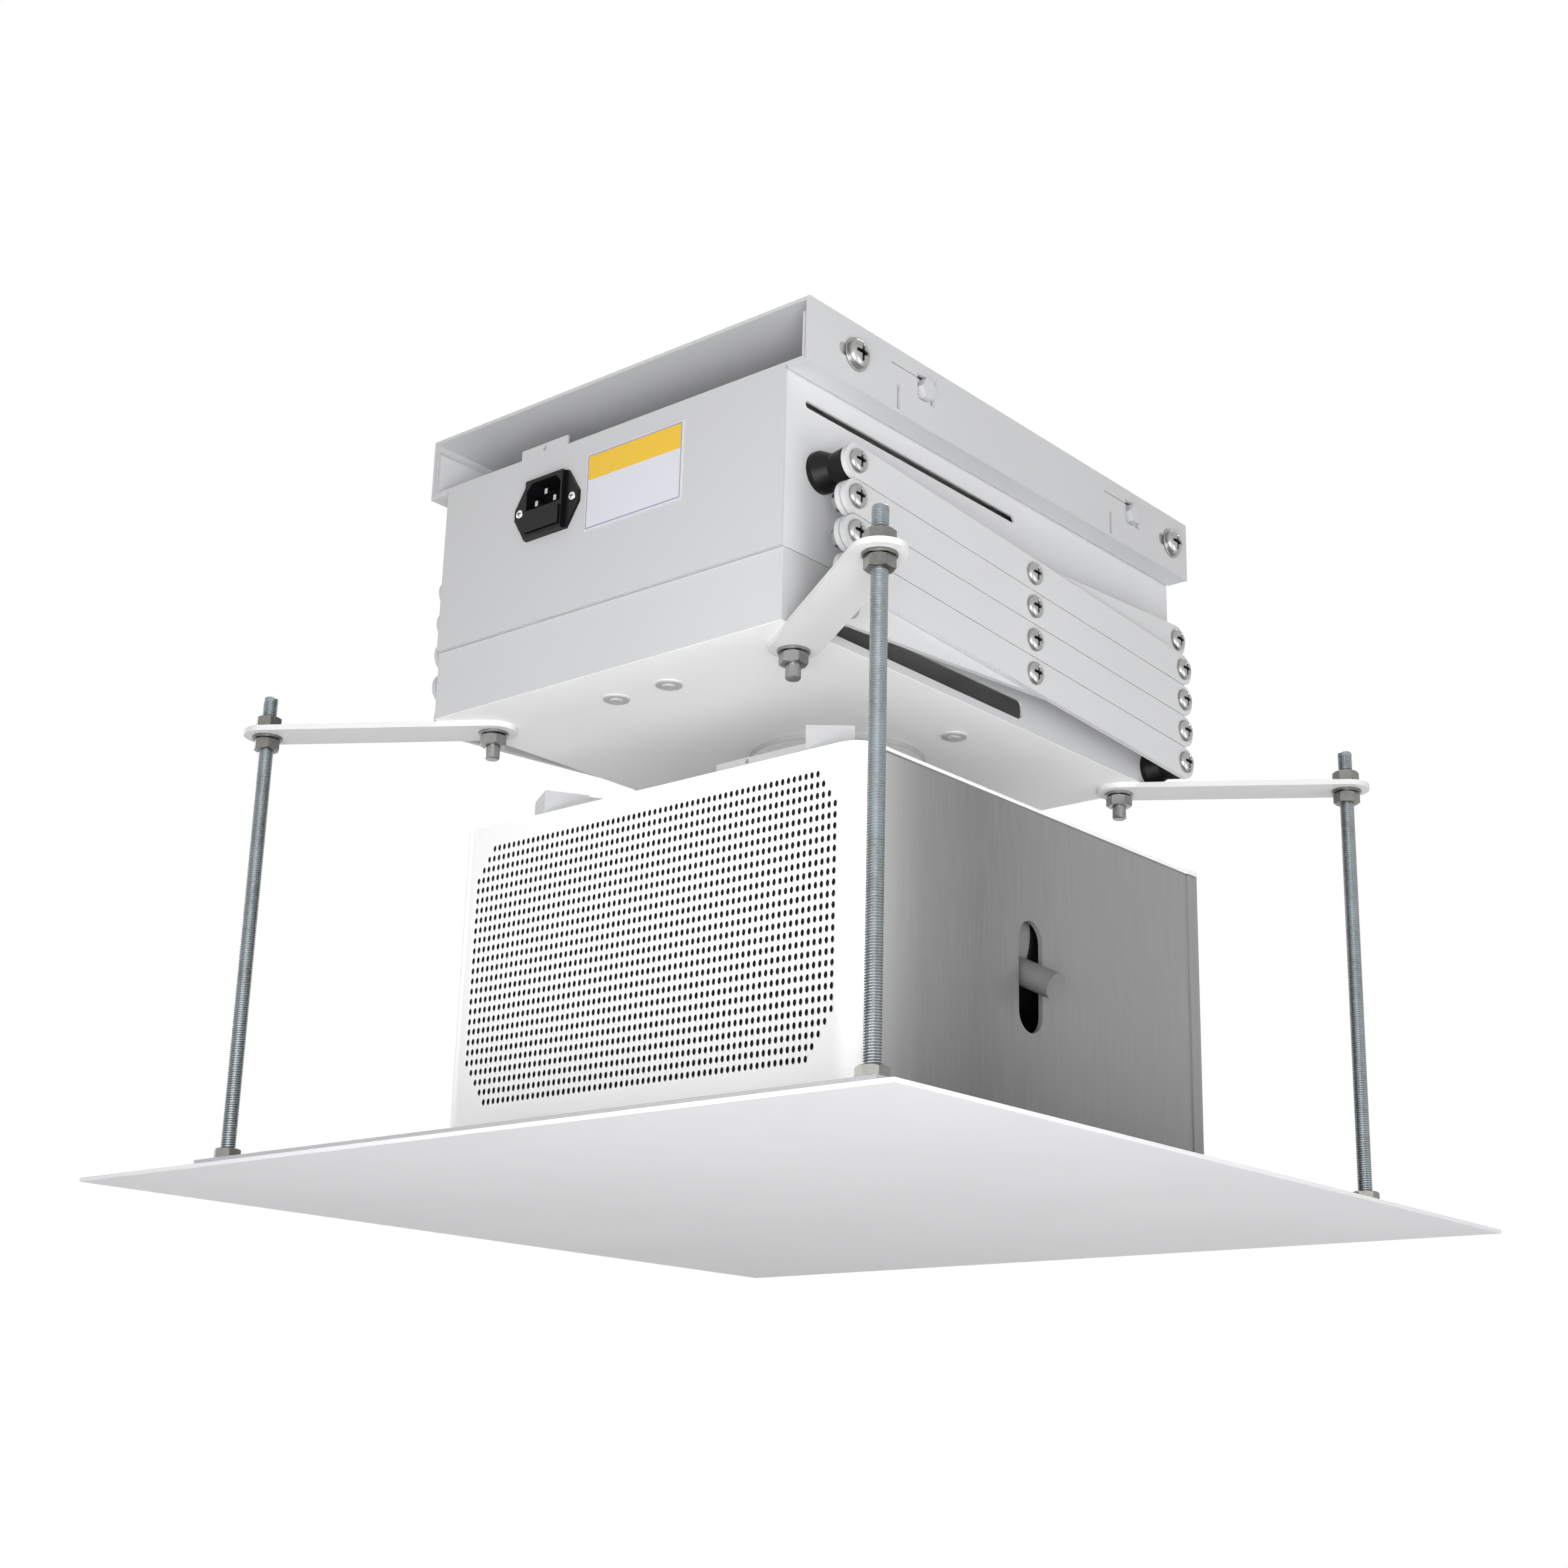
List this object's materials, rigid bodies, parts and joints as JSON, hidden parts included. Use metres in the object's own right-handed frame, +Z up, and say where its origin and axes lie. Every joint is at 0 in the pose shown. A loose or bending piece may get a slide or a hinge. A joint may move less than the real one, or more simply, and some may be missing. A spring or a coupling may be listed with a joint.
{
  "type": "motorized projector lift",
  "caption": "Ceiling-mounted motor lift with a scissor linkage that lowers a projector and its square trim panel on threaded rods.",
  "frame": {"origin": "middle of the ceiling channel's top face, which lies against the ceiling", "axes": "+Z up, X along the scissor arms with the power inlet at -X, Y across the lift"},
  "size_m": [0.54, 0.54, 0.422],
  "materials": {
    "powder_white": "smooth powder coat",
    "trim_white": "satin white paint",
    "stainless": "bright",
    "zinc_steel": "blue zinc plate",
    "plated_pin": "nickel plate",
    "nut_brass": "machined",
    "inlet_black": "moulded",
    "black_nylon": "moulded",
    "dark_plastic": "moulded",
    "ring_grey": "satin moulded",
    "label_film": "printed film without lettering",
    "fuse_glass": "clear",
    "motor_grey": "painted",
    "cast_bearing": "machined",
    "coupling_alloy": "anodised",
    "board_green": "solder mask",
    "casing_silver": "satin silver paint",
    "casing_white": "white",
    "lens_glass": "coated"
  },
  "bodies": {
    "root": {"ceiling_channel": "powder_white", "channel_bolts": "stainless", "hook_bolts": "powder_white", "motor_housing": "powder_white", "housing_cover": "powder_white", "power_inlet": "inlet_black", "inlet_pins": "plated_pin", "inlet_screws": "stainless", "label_plate": "label_film", "gear_motor": "motor_grey", "motor_bracket": "zinc_steel", "screw_bearings": "cast_bearing", "guide_rods": "stainless", "control_board": "board_green", "limit_switches": "inlet_black", "top_pivot_spacers": "black_nylon", "top_pivot_screws": "stainless"},
    "fuse_drawer": {"fuse_drawer": "inlet_black", "fuse": "fuse_glass"},
    "lead_screw": {"lead_screw": "zinc_steel", "shaft_coupling": "coupling_alloy"},
    "carriage": {"carriage_bar": "zinc_steel", "drive_nut": "nut_brass", "upper_rollers": "black_nylon", "carriage_screws": "stainless"},
    "outer_arm_1": {"outer_arms_1": "powder_white", "pivot_screws_1": "stainless"},
    "inner_arm_1": {"inner_arms_1": "powder_white"},
    "outer_arm_2": {"outer_arms_2": "powder_white", "pivot_screws_2": "stainless"},
    "inner_arm_2": {"inner_arms_2": "powder_white"},
    "outer_arm_3": {"outer_arms_3": "powder_white", "pivot_screws_3": "stainless"},
    "inner_arm_3": {"inner_arms_3": "powder_white"},
    "outer_arm_4": {"outer_arms_4": "powder_white", "pivot_screws_4": "stainless"},
    "inner_arm_4": {"inner_arms_4": "powder_white"},
    "slider": {"slider_bar": "zinc_steel", "lower_rollers": "black_nylon", "slider_screws": "stainless"},
    "platform": {"platform_tray": "powder_white", "tray_pivot_spacers": "black_nylon", "tray_pivot_screws": "stainless", "outrigger_arms": "powder_white", "outrigger_bolts": "stainless", "rod_upper_nuts": "zinc_steel", "projector_mount": "powder_white", "mount_screws": "stainless", "projector_casing": "casing_silver", "grille_panel": "casing_white", "lens_panel": "casing_silver", "lens_barrel": "dark_plastic", "lens_glass": "lens_glass", "fan_frame": "dark_plastic"},
    "focus_ring": {"focus_ring": "ring_grey"},
    "fan_rotor": {"fan_rotor": "dark_plastic"},
    "panel": {"threaded_rods": "zinc_steel", "rod_lower_nuts": "zinc_steel", "trim_frame": "powder_white", "trim_panel": "trim_white"}
  },
  "joints": [
    {"name": "lift", "type": "hinge", "parent": "root", "child": "inner_arm_1", "pos_m": [0.154, 0, -0.083], "axis": [0, -1, 0], "range_deg": [0, 58.5]},
    {"name": "outer_arm_1_turn", "type": "hinge", "parent": "inner_arm_1", "child": "outer_arm_1", "pos_m": [0.002, 0, -0.0925], "axis": [0, 1, 0], "range_deg": [0, 117]},
    {"name": "carriage_turn", "type": "hinge", "parent": "outer_arm_1", "child": "carriage", "pos_m": [-0.15, 0, -0.083], "axis": [0, -1, 0], "range_deg": [0, 58.5]},
    {"name": "outer_arm_2_turn", "type": "hinge", "parent": "inner_arm_1", "child": "outer_arm_2", "pos_m": [-0.15, 0, -0.102], "axis": [0, 1, 0], "range_deg": [0, 117]},
    {"name": "inner_arm_2_turn", "type": "hinge", "parent": "outer_arm_2", "child": "inner_arm_2", "pos_m": [0.002, 0, -0.1115], "axis": [0, -1, 0], "range_deg": [0, 117]},
    {"name": "inner_arm_3_turn", "type": "hinge", "parent": "outer_arm_2", "child": "inner_arm_3", "pos_m": [0.154, 0, -0.121], "axis": [0, -1, 0], "range_deg": [0, 117]},
    {"name": "outer_arm_3_turn", "type": "hinge", "parent": "inner_arm_3", "child": "outer_arm_3", "pos_m": [0.002, 0, -0.1305], "axis": [0, 1, 0], "range_deg": [0, 117]},
    {"name": "outer_arm_4_turn", "type": "hinge", "parent": "inner_arm_3", "child": "outer_arm_4", "pos_m": [-0.15, 0, -0.14], "axis": [0, 1, 0], "range_deg": [0, 117]},
    {"name": "inner_arm_4_turn", "type": "hinge", "parent": "outer_arm_4", "child": "inner_arm_4", "pos_m": [0.002, 0, -0.1495], "axis": [0, -1, 0], "range_deg": [0, 117]},
    {"name": "slider_turn", "type": "hinge", "parent": "inner_arm_4", "child": "slider", "pos_m": [-0.15, 0, -0.159], "axis": [0, 1, 0], "range_deg": [0, 58.5]},
    {"name": "platform_turn", "type": "hinge", "parent": "outer_arm_4", "child": "platform", "pos_m": [0.154, 0, -0.159], "axis": [0, -1, 0], "range_deg": [0, 58.5]},
    {"name": "screw_turn", "type": "hinge", "parent": "root", "child": "lead_screw", "pos_m": [0, 0, -0.083], "axis": [1, 0, 0], "continuous": true},
    {"name": "fuse_drawer_slide", "type": "slide", "parent": "root", "child": "fuse_drawer", "axis": [-1, 0, 0], "range_m": [0, 0.01]},
    {"name": "panel_height", "type": "slide", "parent": "platform", "child": "panel", "axis": [0, 0, 1], "range_m": [-0.006, 0.008]},
    {"name": "focus_turn", "type": "hinge", "parent": "platform", "child": "focus_ring", "pos_m": [0, -0.10125, -0.291], "axis": [1, 0, 0], "range_deg": [-18, 13]},
    {"name": "fan_spin", "type": "hinge", "parent": "platform", "child": "fan_rotor", "pos_m": [0, -0.02, -0.312], "axis": [1, 0, 0], "continuous": true}
  ],
  "couplings": [
    {"joint": "outer_arm_1_turn", "follows": "lift", "ratio": 2},
    {"joint": "carriage_turn", "follows": "lift", "ratio": 1},
    {"joint": "outer_arm_2_turn", "follows": "lift", "ratio": 2},
    {"joint": "inner_arm_2_turn", "follows": "lift", "ratio": 2},
    {"joint": "inner_arm_3_turn", "follows": "lift", "ratio": 2},
    {"joint": "outer_arm_3_turn", "follows": "lift", "ratio": 2},
    {"joint": "outer_arm_4_turn", "follows": "lift", "ratio": 2},
    {"joint": "inner_arm_4_turn", "follows": "lift", "ratio": 2},
    {"joint": "slider_turn", "follows": "lift", "ratio": 1},
    {"joint": "platform_turn", "follows": "lift", "ratio": 1}
  ]
}
